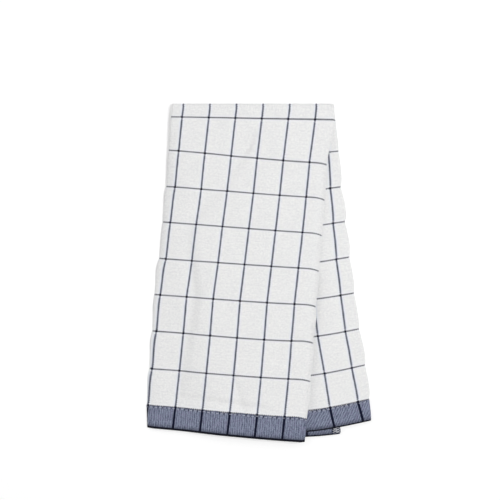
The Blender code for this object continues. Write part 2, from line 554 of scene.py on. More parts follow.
    def plan(
        self, half: Half, row: Row, left_bulge: float, right_bulge: float, place: Place
    ) -> Point:
        """Find where a place on a row lies, seen from above.

        Args:
            half: The half that the row is in.
            row: The row of the weave.
            left_bulge: How far the left fold bulges out at the row.
            right_bulge: How far the right fold bulges out at the row.
            place: The place across the strip.

        Returns:
            x and y.
        """
        edge = self.cloth.thickness / 2 / row.width
        share = between(edge, 1 - edge, place.share) + place.inset / row.width
        x = between(row.left_x, row.right_x, share)
        x += right_bulge * exp(-(1 - share) * row.width / self.bulge_width)
        x -= left_bulge * exp(-share * row.width / self.bulge_width)
        x -= row.bow * sin(pi * clamped(share))
        y = between(row.left_y, row.right_y, share) - row.sag * sin(pi * clamped(share) ** half.sag_skew)
        near_fold = 1 - (1 - share) * row.width / self.drawn_width
        fade = max(0.0, 1 - row.along / half.rows[-1].along)
        drawn = half.drawn * max(near_fold, 0.0) ** 2 * smooth(self.fold_fade * fade)
        y -= drawn * smooth(row.along / self.cloth.hem_depth)
        y -= half.hang * place.hang * clamped(share) ** self.hang_skew * fade
        return x, y

    def support_edge(self, y: float) -> float:
        """Find the left edge of the back half's top layer.

        Args:
            y: The height up the towel.

        Returns:
            The edge's x there.
        """
        rows = self.back.rows
        lower, upper = rows[0], rows[1]
        for lower, upper in zip(rows, rows[1:]):
            if y < upper.left_y:
                break
        share = max((y - lower.left_y) / (upper.left_y - lower.left_y), 0.0)
        row = Row(*(between(a, b, share) for a, b in zip(lower, upper)))
        return between(row.left_x, row.right_x, 1 - row.turned_over / row.width)

    def loft(self, half: Half, x: float, y: float) -> float:
        """Work out how the creases and the cloth's own unevenness stretch a half's height.

        Args:
            half: The half.
            x: The point's place to the right.
            y: The point's place up the towel.

        Returns:
            What the height at the point is multiplied by.
        """
        full = (2 * self.mid_stack + 0.5) * self.pitch
        creases = self.creases if half is self.front else self.creases + self.back_creases
        rise = sum(crease.rise(x, y) for crease in creases)
        uneven = self.swell * ripple(self.swell_size, x, y, 1.0)
        uneven += self.ruffle * ripple(self.ruffle_size, x, y, 2.0)
        return 1 + (rise + uneven) / full

    def middle_point(self, u: float, v: float) -> tuple[float, float, float]:
        """Find where the middle of the cloth's thickness lies at a place.

        Args:
            u: The place across the cloth.
            v: The place along the cloth.

        Returns:
            x, y and z.
        """
        u, v = self.cloth.in_corner(u, v)
        half, along, angle = self.along_of(v)
        row, left_bulge, right_bulge = half.row_at(along)
        place = self.across(row, u)
        if angle is not None:
            x, y = self.plan(self.back, row, 0.0, 0.0, place)
            radius = place.layer * self.pitch
            z = self.mid_stack * self.pitch + self.cloth.thickness / 2 + radius * sin(angle)
            return x, y + radius * cos(angle), z * self.loft(half, x, y)
        x, y = self.plan(half, row, left_bulge, right_bulge, place)
        thickness = between(self.cloth.thickness, self.cloth.hem_thickness, self.cloth.hemmed(v))
        z = (self.mid_stack + half.way * place.layer) * self.pitch + thickness / 2
        if half is self.front:
            past = (self.support_edge(y) - x) / self.sink_run
            sunk = (self.mid_stack + 0.5) * self.pitch * smooth(past)
            floor = self.mid_stack * self.pitch - sunk
            fade = smooth(self.fold_fade * (1 - along / half.rows[-1].along))
            z = floor + (z - sunk - floor) * (1 - fade * self.rolled(row, place.share))
        return x, y, z * self.loft(half, x, y)

    def rolled(self, row: Row, share: float) -> float:
        """Return how much flatter a half's layers lie than midway, as they round off at its folds.

        Args:
            row: The row of the weave.
            share: The share of the way from the left to the right fold.

        Returns:
            The part of their height that is lost there.
        """
        right = clamped(1 - (1 - share) * row.width / self.right_roll_width)
        left = clamped(1 - share * row.width / self.left_roll_width)
        return self.right_roll * right**2 + self.left_roll * left**2


@dataclass
class TowelSheet:
    """The cloth itself: one closed sheet, both its faces laid along the folds.

    near_left_fold is where the mesh starts to run close on the way to the left fold, and rim is
    how far in from an edge it starts to run even. shift is found when the sheet is built: it
    sets the sheet over its CAD solid. No sewing is lower than lowest_thread.
    """

    lie: FoldedLie
    near_left_fold: float = 115.0
    rim: float = 0.5
    shift: Vector = field(default_factory=lambda: Vector((0.0, 0.0, 0.0)))
    lowest_thread: float = 0.45

    def columns(self) -> list[float]:
        """Return the mesh's places across the cloth, close together at folds and edges."""
        cloth = self.lie.cloth
        first, pitch = cloth.first_warp_line, cloth.warp_pitch

        def line(number: float) -> float:
            """Return the place of a line of the check, counted from the selvedge."""
            return first + pitch * number

        edge = [0.0, 0.08, 0.25]
        stops = (
            (self.rim, 4),
            (first, 9),
            (line(1), 19),
            (self.near_left_fold, 20),
            (line(5), 3),
            (line(5) + pitch / 12, 59),
            (line(10), 6),
            (line(10) + pitch / 2, 20),
            (line(11), 24),
            (line(13), 20),
            (cloth.width - self.rim, 0),
        )
        values = list(edge)
        for (start, count), (end, _) in zip(stops, stops[1:]):
            values += steps(start, end, count)
        return values + [cloth.width - value for value in (self.rim, *reversed(edge))]

    def rows(self) -> list[float]:
        """Return the mesh's places along the cloth."""
        cloth, lie = self.lie.cloth, self.lie
        depth, step = cloth.hem_depth, cloth.hem_step / 2
        first_line = depth + cloth.weft_pitch
        last_line = depth + 7 * cloth.weft_pitch
        half = [0.0, 0.1, 0.32]
        stops = ((0.65, 8), (depth - step, 2), (depth + step, 18), (first_line, 72), (last_line, 0))
        for (start, count), (end, _) in zip(stops, stops[1:]):
            half += steps(start, end, count)
        half.append(last_line)
        front_top = steps(last_line, lie.fold_start, 15)[1:]
        back_top = steps(cloth.length - lie.fold_end, last_line, 15)[1:]
        fold = [*steps(lie.fold_start, lie.fold_end, 12), lie.fold_end]
        back = [cloth.length - value for value in [*back_top, *reversed(half)]]
        return half + front_top + fold + back

    def normals(self, points: np.ndarray) -> np.ndarray:
        """Work out the upright direction of the cloth's face over a grid of points.

        Args:
            points: The points, in rows, each row across the cloth.

        Returns:
            A direction of length 1 for each point.
        """
        across = np.gradient(points, axis=1)
        along = np.gradient(points, axis=0)
        upright = np.cross(across, along)
        return upright / np.linalg.norm(upright, axis=2, keepdims=True)

    def build(self, material: bpy.types.Material) -> bpy.types.Object:
        """Make the sheet and set it on its CAD solid.

        Args:
            material: The finish of the cloth.

        Returns:
            The sheet.
        """
        us, vs = self.columns(), self.rows()
        points = np.array([[self.lie.middle_point(u, v) for u in us] for v in vs])
        thick = np.array([[self.lie.cloth.thickness_at(u, v) for u in us] for v in vs])
        offset = self.normals(points) * thick[:, :, None] / 2
        count_v, count_u = len(vs), len(us)
        faces_of = np.concatenate([(points + offset).reshape(-1, 3), (points - offset).reshape(-1, 3)])
        faces_of[:, 2] = np.maximum(faces_of[:, 2], 0.0)
        self.shift = self.found_shift(faces_of)
        size = count_v * count_u
        faces: list[tuple[int, int, int, int]] = []
        for r in range(count_v - 1):
            for c in range(count_u - 1):
                a = r * count_u + c
                b, d = a + 1, a + count_u
                faces.append((a, b, d + 1, d))
                faces.append((size + a, size + d, size + d + 1, size + b))
        rim = self.rim_of(count_u, count_v)
        for a, b in zip(rim, [*rim[1:], rim[0]]):
            faces.append((b, a, size + a, size + b))
        mesh = bpy.data.meshes.new(TOWEL_NODE + "_cloth")
        placed = (faces_of + np.array(self.shift)) * MM
        mesh.from_pydata(placed.tolist(), [], faces)
        plan = np.array([(u, v) for v in vs for u in us]) * MM
        self.add_map(mesh, np.concatenate([plan, plan]))
        mesh.polygons.foreach_set("use_smooth", [True] * len(mesh.polygons))
        mesh.materials.append(material)
        mesh.update()
        towel = bpy.data.objects.new("towel_cloth", mesh)
        bpy.context.scene.collection.objects.link(towel)
        return towel

    def found_shift(self, points: np.ndarray) -> Vector:
        """Return the move that sets the sheet's top fold and right side over its CAD solid's."""
        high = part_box(TOWEL_NODE)[1]
        return Vector((high[0] / MM - points[:, 0].max(), high[1] / MM - points[:, 1].max(), 0.0))

    def rim_of(self, count_u: int, count_v: int) -> list[int]:
        """Go once round the rim of the upper face.

        Args:
            count_u: How many points there are across the cloth.
            count_v: How many points there are along the cloth.

        Returns:
            The numbers of the rim's points, in order.
        """
        last = (count_v - 1) * count_u
        rim = list(range(count_u))
        rim += [r * count_u + count_u - 1 for r in range(1, count_v)]
        rim += [last + c for c in range(count_u - 2, -1, -1)]
        return rim + [r * count_u for r in range(count_v - 2, 0, -1)]

    def add_map(self, mesh: bpy.types.Mesh, plan: np.ndarray) -> None:
        """Give the mesh a map of its places on the flat cloth, in metres.

        Args:
            mesh: The sheet's mesh.
            plan: The place of each of its points.
        """
        layer = mesh.uv_layers.new(name=CLOTH_MAP)
        corners = np.zeros(len(mesh.loops), dtype=np.int32)
        mesh.loops.foreach_get("vertex_index", corners)
        layer.data.foreach_set("uv", plan[corners].ravel())

    def face_point(self, u: float, v: float, side: int, lift: float) -> Vector:
        """Find a point just off one face of the cloth.

        Args:
            u: The place across the cloth.
            v: The place along the cloth.
            side: 1 for the cloth's face and -1 for its back.
            lift: How far off the face.

        Returns:
            The point, in metres.
        """
        near = 0.25
        cloth = self.lie.cloth
        u_low, u_high = max(u - near, 0.0), min(u + near, cloth.width)
        v_low, v_high = max(v - near, 0.0), min(v + near, cloth.length)
        across = Vector(self.lie.middle_point(u_high, v)) - Vector(self.lie.middle_point(u_low, v))
        along = Vector(self.lie.middle_point(u, v_high)) - Vector(self.lie.middle_point(u, v_low))
        upright = across.cross(along).normalized()
        off = cloth.thickness_at(u, v) / 2 + lift
        point = Vector(self.lie.middle_point(u, v)) + upright * (side * off) + self.shift
        point.z = max(point.z, self.lowest_thread)
        return point * MM


# Sewing ------------------------------------------------------------------------------------


@dataclass(frozen=True)
class ThreadRun:
    """A round thread through a line of points, and how it is cut into facets.

    tip is how wide its two ends are, as a share of the rest.
    """

    radius: float
    sides: int = 6
    tip: float = 0.45

    def tube(self, line: Sequence[Vector], start_along: float) -> Iterator[tuple[list[Vector], float]]:
        """Go along the thread ring by ring.

        Args:
            line: The thread's middle line, in metres.
            start_along: The thread's length before this line, in metres.

        Yields:
            The points of each ring, and the thread's length up to it.
        """
        along = start_along
        for n, point in enumerate(line):
            before, after = line[max(n - 1, 0)], line[min(n + 1, len(line) - 1)]
            way = (after - before).normalized()
            side = way.cross(Vector((0.0, 0.0, 1.0)))
            side = side.normalized() if side.length > 0.05 else way.orthogonal().normalized()
            up = side.cross(way).normalized()
            along += (point - line[n - 1]).length if n else 0.0
            share = self.tip if n in (0, len(line) - 1) else 1.0
            ring = []
            for k in range(self.sides):
                angle = 2 * pi * k / self.sides
                ring.append(point + (side * cos(angle) + up * sin(angle)) * (self.radius * MM * share))
            yield ring, along


class ThreadMesh:
    """Gathers lengths of thread into one mesh, with a map of length along and turn round."""

    def __init__(self, run: ThreadRun) -> None:
        """Start with no thread.

        Args:
            run: The thread's thickness and how it is cut.
        """
        self.run = run
        self.points: list[Vector] = []
        self.faces: list[list[int]] = []
        self.corners: list[tuple[float, float]] = []
        self.length = 0.0

    def add(self, line: Sequence[Vector]) -> None:
        """Add one length of thread, closed at both ends.

        Args:
            line: The thread's middle line, in metres.
        """
        rings = list(self.run.tube(line, self.length))
        sides = self.run.sides
        first = len(self.points)
        for ring, _ in rings:
            self.points += ring
        for r, ((_, near), (_, far)) in enumerate(zip(rings, rings[1:])):
            base = first + r * sides
            for k in range(sides):
                after = (k + 1) % sides
                self.faces.append([base + k, base + after, base + sides + after, base + sides + k])
                turn, next_turn = k / sides, (k + 1) / sides
                self.corners += [(near, turn), (near, next_turn), (far, next_turn), (far, turn)]
        start_cap = [first + k for k in reversed(range(sides))]
        end_cap = [len(self.points) - sides + k for k in range(sides)]
        for cap, along in ((start_cap, rings[0][1]), (end_cap, rings[-1][1])):
            self.faces.append(cap)
            self.corners += [(along, 0.0)] * sides
        self.length = rings[-1][1]

    def finish(self, name: str, material: bpy.types.Material) -> bpy.types.Object:
        """Make the object of all the thread added.

        Args:
            name: The piece's name.
            material: The finish of the thread.

        Returns:
            The piece.
        """
        mesh = bpy.data.meshes.new(name)
        mesh.from_pydata([tuple(point) for point in self.points], [], self.faces)
        layer = mesh.uv_layers.new(name=CLOTH_MAP)
        layer.data.foreach_set("uv", [value for corner in self.corners for value in corner])
        mesh.polygons.foreach_set("use_smooth", [True] * len(mesh.polygons))
        mesh.materials.append(material)
        mesh.update()
        piece = bpy.data.objects.new(name, mesh)
        bpy.context.scene.collection.objects.link(piece)
        return piece


@dataclass
class HemStitching:
    """The lockstitch that holds both hems, on both faces of the cloth.

    The stitches run below_edge below the hem's edge and wander a little from it. Each one
    arches up by arch, and its ends bite into the cloth by bite, in radii of the thread. It is
    made of straight cuts. left_out stitches of a full row are left out at the overlock.
    """

    sheet: TowelSheet
    below_edge: float = 1.2
    pitch: float = 3.9
    stitch: float = 2.9
    wander: float = 0.5
    wander_size: float = 6.0
    arch: float = 1.2
    bite: float = 0.9
    cuts: int = 4
    left_out: int = 3
    thread: ThreadRun = ThreadRun(radius=0.27)

    def stitch_line(self, u: float, v: float, side: int) -> list[Vector]:
        """Lead one stitch over a face of the cloth.

        Args:
            u: The place across the cloth where the stitch starts.
            v: The place along the cloth.
            side: 1 for the cloth's face and -1 for its back.

        Returns:
            The stitch's middle line.
        """
        line = []
        for n in range(self.cuts + 1):
            share = n / self.cuts
            lift = self.thread.radius * (self.arch * sin(pi * share) - self.bite)
            drift = self.wander * ripple(self.wander_size, u, v, side)
            line.append(self.sheet.face_point(u + share * self.stitch, v + drift, side, lift))
        return line

    def build(self, material: bpy.types.Material) -> bpy.types.Object:
        """Sew both hems.

        Args:
            material: The finish of the thread.

        Returns:
            The thread's piece.
        """
        cloth = self.sheet.lie.cloth
        made = ThreadMesh(self.thread)
        from_end = cloth.hem_depth - self.below_edge
        count = int(cloth.width / self.pitch) - self.left_out
        for v in (from_end, cloth.length - from_end):
            for side in (1, -1):
                for n in range(count):
                    start = self.pitch * (n + 1) + (self.pitch - self.stitch) / 2
                    made.add(self.stitch_line(start, v, side))
        return made.finish("hem_stitching", material)


@dataclass
class SelvedgeOverlock:
    """The overlock over both side edges: crossed threads over the cloth's face and edge.

    The threads run to and fro between rim and reach from the selvedge, once in each pitch, in
    straight cuts, and lie lift off the cloth at their turns and mid_lift between them, in radii.
    """

    sheet: TowelSheet
    reach: float = 7.2
    rim: float = 0.2
    start: float = 0.3
    pitch: float = 6.4
    threads: int = 3
    cuts: int = 6
    lift: float = 0.15
    mid_lift: float = 0.6
    thread: ThreadRun = ThreadRun(radius=0.3, sides=5)

    def zigzag(self, from_edge: Callable[[float], float], ahead: float, side: int) -> list[Vector]:
        """Run a thread to and fro between the edge and the seam.

        Args:
            from_edge: Turns a distance from the selvedge into a place across the cloth.
            ahead: How many of its turns to and fro the thread is ahead of the first one.
            side: 1 for the cloth's face and -1 for its back.

        Returns:
            The thread's middle line.
        """
        length = self.sheet.lie.cloth.length
        line = []
        for n in range(int((length - 2 * self.start) / self.pitch * self.cuts) + 1):
            turn = abs((n / self.cuts + ahead) % 1 * 2 - 1)
            lift = self.thread.radius * between(self.lift, self.mid_lift, sin(pi * turn))
            u = from_edge(between(self.rim, self.reach, turn))
            v = self.start + n * self.pitch / self.cuts
            line.append(self.sheet.face_point(u, v, side, lift))
        return line

    def build(self, material: bpy.types.Material) -> bpy.types.Object:
        """Overlock both side edges.

        Args:
            material: The finish of the thread.

        Returns:
            The thread's piece.
        """
        width = self.sheet.lie.cloth.width
        made = ThreadMesh(self.thread)
        for from_edge in (lambda value: value, lambda value: width - value):
            for side in (1, -1):
                for number in range(self.threads):
                    made.add(self.zigzag(from_edge, number / self.threads, side))
        return made.finish("selvedge_overlock", material)


# Finishes ----------------------------------------------------------------------------------


class Value:
    """A socket's value, which Python's operators turn into Math nodes."""

    def __init__(self, shader: Shader, socket: bpy.types.NodeSocket) -> None:
        """Wrap a socket of a shader."""
        self.shader = shader
        self.socket = socket

    def with_math(self, operation: str, *values: Value | float, before: bool = False) -> Value:
        """Add a Math node.

        Args:
            operation: The node's operation.
            values: The operation's other values.
            before: True if they come before this one.

        Returns:
            The node's result.
        """
        ordered = [*values, self] if before else [self, *values]
        sockets = {n: value for n, value in enumerate(ordered)}
        made = self.shader.node("ShaderNodeMath", {"operation": operation}, sockets)
        return Value(self.shader, made.outputs[0])

    def __add__(self, other: Value | float) -> Value:
        """Return the sum."""
        return self.with_math("ADD", other)

    __radd__ = __add__

    def __sub__(self, other: Value | float) -> Value:
        """Return the difference."""
        return self.with_math("SUBTRACT", other)

    def __rsub__(self, other: float) -> Value:
        """Return the difference from a number."""
        return self.with_math("SUBTRACT", other, before=True)

    def __mul__(self, other: Value | float) -> Value:
        """Return the product."""
        return self.with_math("MULTIPLY", other)

    __rmul__ = __mul__

    def __truediv__(self, other: Value | float) -> Value:
        """Return the quotient."""
        return self.with_math("DIVIDE", other)

    def __abs__(self) -> Value:
        """Return the size, without its sign."""
        return self.with_math("ABSOLUTE")

    def __mod__(self, other: float) -> Value:
        """Return what is left past whole steps, never below 0."""
        return self.with_math("FLOORED_MODULO", other)

    def least(self, other: Value | float) -> Value:
        """Return the smaller of two values."""
        return self.with_math("MINIMUM", other)

    def most(self, other: Value | float) -> Value:
        """Return the larger of two values."""
        return self.with_math("MAXIMUM", other)

    def wave(self, pitch: float) -> Value:
        """Return a smooth wave from 0 to 1 that repeats at a pitch."""
        return (self * (2 * pi / pitch)).with_math("SINE") * 0.5 + 0.5

    def over(self, low: float, high: float) -> Value:
        """Turn the value into an S-shaped ramp from 0 to 1.

        Args:
            low: Where the ramp is 0.
            high: Where the ramp is 1, which may be below the other.

        Returns:
            The ramp.
        """
        if low > high:
            return 1 - self.over(high, low)
        sockets = {"Value": self, "From Min": low, "From Max": high}
        made = self.shader.node("ShaderNodeMapRange", {"interpolation_type": "SMOOTHSTEP"}, sockets)
        return Value(self.shader, made.outputs["Result"])


class Shader:
    """A material's nodes, made one at a time."""

    def __init__(self, name: str) -> None:
        """Start a material with its shader and output.

        Args:
            name: The material's name.
        """
        self.material = bpy.data.materials.new(name)
        self.material.use_nodes = True
        self.tree = self.material.node_tree
        self.surface = self.tree.nodes["Principled BSDF"]

    def node(
        self,
        kind: str,
        settings: Mapping[str, Any] | None = None,
        sockets: Mapping[str | int, Any] | None = None,
    ) -> bpy.types.Node:
        """Add a node.

        Args:
            kind: The node's type.
            settings: Its own settings, set first.
            sockets: Its sockets' values or links, by name, identifier or number.

        Returns:
            The node.
        """
        made = self.tree.nodes.new(kind)
        for name, value in (settings or {}).items():
            setattr(made, name, value)
        for key, value in (sockets or {}).items():
            self.fill(made, key, value)
        return made

    def fill(self, node: bpy.types.Node, key: str | int, value: Any) -> None:
        """Set or link one of a node's sockets.

        Args:
            node: The node.
            key: The socket's name, identifier or number.
            value: The number, colour or text that it gets, or the output it is linked to.
        """
        if isinstance(key, int):
            socket = node.inputs[key]
        else:
            named = [found for found in node.inputs if found.identifier == key]
            socket = named[0] if named else node.inputs[key]
        if isinstance(value, Value):
            value = value.socket
        if isinstance(value, bpy.types.NodeSocket):
            self.tree.links.new(value, socket)
        else:
            socket.default_value = value

    def value(self, socket: bpy.types.NodeSocket) -> Value:
        """Return a socket as a value for expressions."""
        return Value(self, socket)

    def vector(
        self, x: Value | float, y: Value | float, z: Value | float = 0.0
    ) -> bpy.types.NodeSocket:
        """Return a vector of three values."""
        return self.node("ShaderNodeCombineXYZ", None, {"X": x, "Y": y, "Z": z}).outputs[0]

    def noise(self, place: bpy.types.NodeSocket, scale: float = 1.0, detail: float = 2.0) -> Value:
        """Add soft noise.

        Args:
            place: The place it is taken at.
            scale: How many of its swellings there are to the place's unit.
            detail: How much finer noise is laid over it.

        Returns:
            The noise, from about 0.2 to 0.8.
        """
        sockets = {"Vector": place, "Scale": scale, "Detail": detail}
        made = self.node("ShaderNodeTexNoise", {"noise_dimensions": "3D"}, sockets)
        return self.value(made.outputs[0])

    def blend(self, share: Value | float, start: Any, end: Any) -> bpy.types.NodeSocket:
        """Mix two colours.

        Args:
            share: How far the mix is on the way from the first to the second.
            start: The first colour.
            end: The second colour.

        Returns:
            The mixed colour.
        """
        sockets = {"Factor_Float": share, "A_Color": start, "B_Color": end}
        made = self.node("ShaderNodeMix", {"data_type": "RGBA"}, sockets)
        return next(found for found in made.outputs if found.identifier == "Result_Color")

    def cloth_place(self) -> tuple[Value, Value]:
        """Return the place across and along the flat cloth, in millimetres."""
        chart = self.node("ShaderNodeUVMap", {"uv_map": CLOTH_MAP})
        parts = self.node("ShaderNodeSeparateXYZ", None, {"Vector": chart.outputs[0]})
        return self.value(parts.outputs[0]) / MM, self.value(parts.outputs[1]) / MM


def tone(red: int, green: int, blue: int) -> Tone:
    """Turn a screen colour into the shader's own colour.

    Args:
        red: The red part, from 0 to 255.
        green: The green part.
        blue: The blue part.

    Returns:
        The shader's colour.
    """

    def linear(value: int) -> float:
        """Return one channel without the screen's curve."""
        share = value / 255
        return share / 12.92 if share <= 0.04045 else ((share + 0.055) / 1.055) ** 2.4

    return linear(red), linear(green), linear(blue), 1.0


class HemPlace(NamedTuple):
    """A place in a hem: from its end, how far tufts hang over its top, and 1 in the back hem."""

    from_end: Value
    tufts: Value
    at_back: Value


@dataclass(frozen=True)
class CheckedCotton:
    """Soft white cotton with woven navy lines, and hems of slate twill.

    A line reaches warp_half or weft_half, or in a hem hem_line_half, to each side of its
    middle, and its strands lean twist_lean from side to side once in each twist_pitch. The
    ground next to it is cleaner out to halo_reach. A rib slope is how far across the hem's
    ribs lean for each step up it. A near-black band of painted shade, for the hem's rounded
    end, is end_depth deep, and back_end_less less in the back hem. The ground's tufts hang
    over a hem's top by up to half of tuft_drop, in waves of up to half of wave_drop. Just
    before each crossing a line along the cloth loses the share float_loss of its colour, where
    its strands float apart. The heights are what the bump stands up by.
    """

    cloth: Cloth
    stitch_pitch: float
    white: Tone = tone(243, 243, 241)
    shaded_white: Tone = tone(217, 217, 219)
    halo: Tone = tone(230, 233, 241)
    warp_dark: Tone = tone(2, 4, 26)
    warp_light: Tone = tone(118, 122, 142)
    weft_dark: Tone = tone(38, 40, 54)
    weft_light: Tone = tone(158, 159, 163)
    crossing: Tone = tone(6, 8, 30)
    slate_dark: Tone = tone(34, 42, 72)
    slate_light: Tone = tone(155, 163, 183)
    lilac: Tone = tone(124, 116, 146)
    hem_line: Tone = tone(1, 7, 36)
    # Painted shade of each hem's rounded end: its near-black band and the darkening above it.
    hem_end_shade: Tone = tone(7, 9, 24)
    overlocked: Tone = tone(38, 42, 60)
    warp_half: float = 0.87
    weft_half: float = 0.68
    hem_line_half: float = 1.1
    halo_reach: float = 3.4
    twist_pitch: float = 1.9
    twist_lean: float = 0.7
    grain_pitch: float = 1.0
    rib_pitch: float = 2.0
    front_rib_slope: float = 0.05
    back_rib_slope: float = 0.62
    end_depth: float = 2.1
    back_end_less: float = 0.55
    overlock_reach: float = 8.0
    tuft_drop: float = 1.9
    wave_drop: float = 2.4
    float_loss: float = 0.42
    loop_height: float = 0.2
    strand_height: float = 0.1
    line_height: float = 0.02
    rib_height: float = 0.13
    hem_grain_height: float = 0.08
    roughness: float = 0.94
    hem_gloss: float = 0.08

    def from_line(self, place: Value, first: float, pitch: float) -> Value:
        """Return the way from the nearest of evenly spaced lines, below 0 before it."""
        return (place + (pitch / 2 - first)) % pitch - pitch / 2

    def material(self) -> bpy.types.Material:
        """Build the finish.

        Returns:
            The material.
        """
        cloth = self.cloth
        shader = Shader("checked_cotton")
        u, v = shader.cloth_place()
        from_end = v.least(cloth.length - v)
        tufts = (shader.noise(shader.vector(u * 0.6, v * 0.05)) - 0.5) * self.tuft_drop
        waves = shader.noise(shader.vector(u * 0.11, v * 0.01, 5.0), detail=1.0) - 0.5
        tufts = tufts + waves * self.wave_drop
        hem = (from_end + tufts).over(cloth.hem_depth + 0.25, cloth.hem_depth - 0.25)
        hem_place = HemPlace(from_end, tufts, v.over(cloth.length / 2 - 1, cloth.length / 2 + 1))
        fine = shader.noise(shader.vector(u, v), scale=1.1)
        to_warp = self.from_line(u, cloth.first_warp_line, cloth.warp_pitch)
        to_weft = self.from_line(v, cloth.first_weft_line, cloth.weft_pitch)

        loops = self.loops(shader, u, v)
        ground = self.ground(shader, u, v, loops)
        woven, lines, strands = self.lined(shader, ground, (u, v), (to_warp, to_weft), fine)
        rib, slate = self.slate(shader, u, v, hem_place)
        slate = self.hem_trim(shader, slate, u, hem_place, abs(to_warp), fine)
        colour = shader.blend(hem, woven, slate)

        terry = loops * self.loop_height * (1 - lines)
        terry = terry + lines * (strands * self.strand_height + self.line_height)
        twill = rib * self.rib_height + fine * self.hem_grain_height
        height = terry * (1 - hem) + twill * hem
        sockets = {"Strength": 1.0, "Distance": MM, "Height": height}
        bump = shader.node("ShaderNodeBump", None, sockets)
        shader.fill(shader.surface, "Base Color", colour)
        shader.fill(shader.surface, "Normal", bump.outputs[0])
        shader.fill(shader.surface, "Roughness", self.roughness - hem * self.hem_gloss)
        shader.fill(shader.surface, "Sheen Weight", 0.04)
        shader.fill(shader.surface, "Sheen Roughness", 0.6)
        shader.fill(shader.surface, "Specular IOR Level", 0.15)
        return shader.material

    def loops(self, shader: Shader, u: Value, v: Value) -> Value:
        """Build the small uneven loops of the white ground.

        Args:
            shader: The material's nodes.
            u: The place across the cloth.
            v: The place along the cloth.

        Returns:
            The height of the loops, from 0 to 1.
        """
        drift = shader.noise(shader.vector(u * 0.4, v * 0.4, 3.0), detail=1.0) * 2.2
        even = (u + drift).wave(self.grain_pitch) * (v + drift).wave(self.grain_pitch * 1.2)
        uneven = shader.noise(shader.vector(u * 0.8, v * 0.9, 6.0)).over(0.3, 0.7)
        return even * 0.4 + uneven * 0.6

    def ground(self, shader: Shader, u: Value, v: Value, loops: Value) -> bpy.types.NodeSocket:
        """Build the white ground.

        Args:
            shader: The material's nodes.
            u: The place across the cloth.
            v: The place along the cloth.
            loops: The height of its loops.

        Returns:
            Its colour.
        """
        broad = shader.noise(shader.vector(u, v), scale=0.05, detail=3.0)
        streak = shader.noise(shader.vector(u * 0.1, v * 0.8, 8.0))
        speck = shader.noise(shader.vector(u * 0.55, v * 0.6, 4.0), detail=3.0)
        share = loops * 0.4 + speck.over(0.3, 0.7) * 0.36
        share = share + streak.over(0.3, 0.7) * 0.18 + broad.over(0.3, 0.7) * 0.06
        return shader.blend(share, self.shaded_white, self.white)

    def lined(
        self,
        shader: Shader,
        ground: bpy.types.NodeSocket,
        place: tuple[Value, Value],
        to_line: tuple[Value, Value],
        fine: Value,
    ) -> tuple[bpy.types.NodeSocket, Value, Value]:
        """Weave the check's lines into the ground, each of twisted dark and pale strands.

        Args:
            shader: The material's nodes.
            ground: The ground's colour.
            place: The place across and along the cloth.
            to_line: The way from the nearest line, across and along.
            fine: Fine noise over the cloth.

        Returns:
            The colour, how much of a line there is, and the height of its strands.
        """
        (u, v), (to_warp, to_weft) = place, to_line
        off_warp, off_weft = abs(to_warp), abs(to_weft)
        beside = off_warp.over(self.halo_reach, self.warp_half)
        beside = beside.most(off_weft.over(self.halo_reach, self.weft_half) * 0.4)
        colour = shader.blend(beside * 0.7, ground, self.halo)
        warp_twist = (v + fine * 1.6).wave(self.twist_pitch)
        weft_twist = (u + fine * 1.6).wave(self.twist_pitch)
        ragged = (fine - 0.5) * 0.5
        warp = abs(to_warp + (warp_twist - 0.5) * self.twist_lean) + ragged
        float_gap = to_weft.over(-2.5, -1.9) * to_weft.over(-0.9, -1.5)
        warp = warp.over(self.warp_half + 0.15, self.warp_half - 0.3) * (1 - float_gap * self.float_loss)
        weft = abs(to_weft + (weft_twist - 0.5) * self.twist_lean * 0.5) + ragged * 0.7
        weft = weft.over(self.weft_half + 0.15, self.weft_half - 0.25)
        warp_ply = (warp_twist * 0.7 + fine * 0.3).over(0.2, 0.85)
        weft_ply = (weft_twist * 0.7 + fine * 0.3).over(0.2, 0.85)
        colour = shader.blend(weft, colour, shader.blend(weft_ply, self.weft_dark, self.weft_light))
        colour = shader.blend(warp, colour, shader.blend(warp_ply, self.warp_dark, self.warp_light))
        cross = off_warp.over(1.35, 0.75) * off_weft.over(1.15, 0.6)
        strands = warp * warp_twist + weft * weft_twist
        return shader.blend(cross, colour, self.crossing), warp.most(weft), strands

    def slate(
        self, shader: Shader, u: Value, v: Value, hem: HemPlace
    ) -> tuple[Value, bpy.types.NodeSocket]:
        """Build the hems' twill.

        Args:
            shader: The material's nodes.
            u: The place across the cloth.
            v: The place along the cloth.
            hem: The place in the hem.

        Returns:
            The height of the ribs, from 0 to 1, and the twill's colour.
        """
        slope = hem.at_back * (self.back_rib_slope - self.front_rib_slope) + self.front_rib_slope
        sway = shader.noise(shader.vector(u * 0.25, hem.from_end * 0.2, 7.0)) * 2.2
        across = u + hem.from_end * slope
        rib = ((across + sway) * (1 - hem.at_back * 0.17)).wave(self.rib_pitch)
        streak = shader.noise(shader.vector(across * 0.62, hem.from_end * 0.22, 4.0))
        fleck = shader.noise(shader.vector(u * 1.3, v * 0.9, 5.0))
        patch = shader.noise(shader.vector(u, v, 2.0), scale=0.15)
        share = rib * 0.34 + streak.over(0.34, 0.66) * 0.22
        share = share + fleck.over(0.32, 0.68) * 0.34 + patch * 0.1
        colour = shader.blend(share, self.slate_dark, self.slate_light)
        tint = shader.noise(shader.vector(u, v, 9.0), scale=0.4).over(0.45, 0.7)
        return rib * (1 - hem.at_back * 0.3), shader.blend(tint * 0.3, colour, self.lilac)

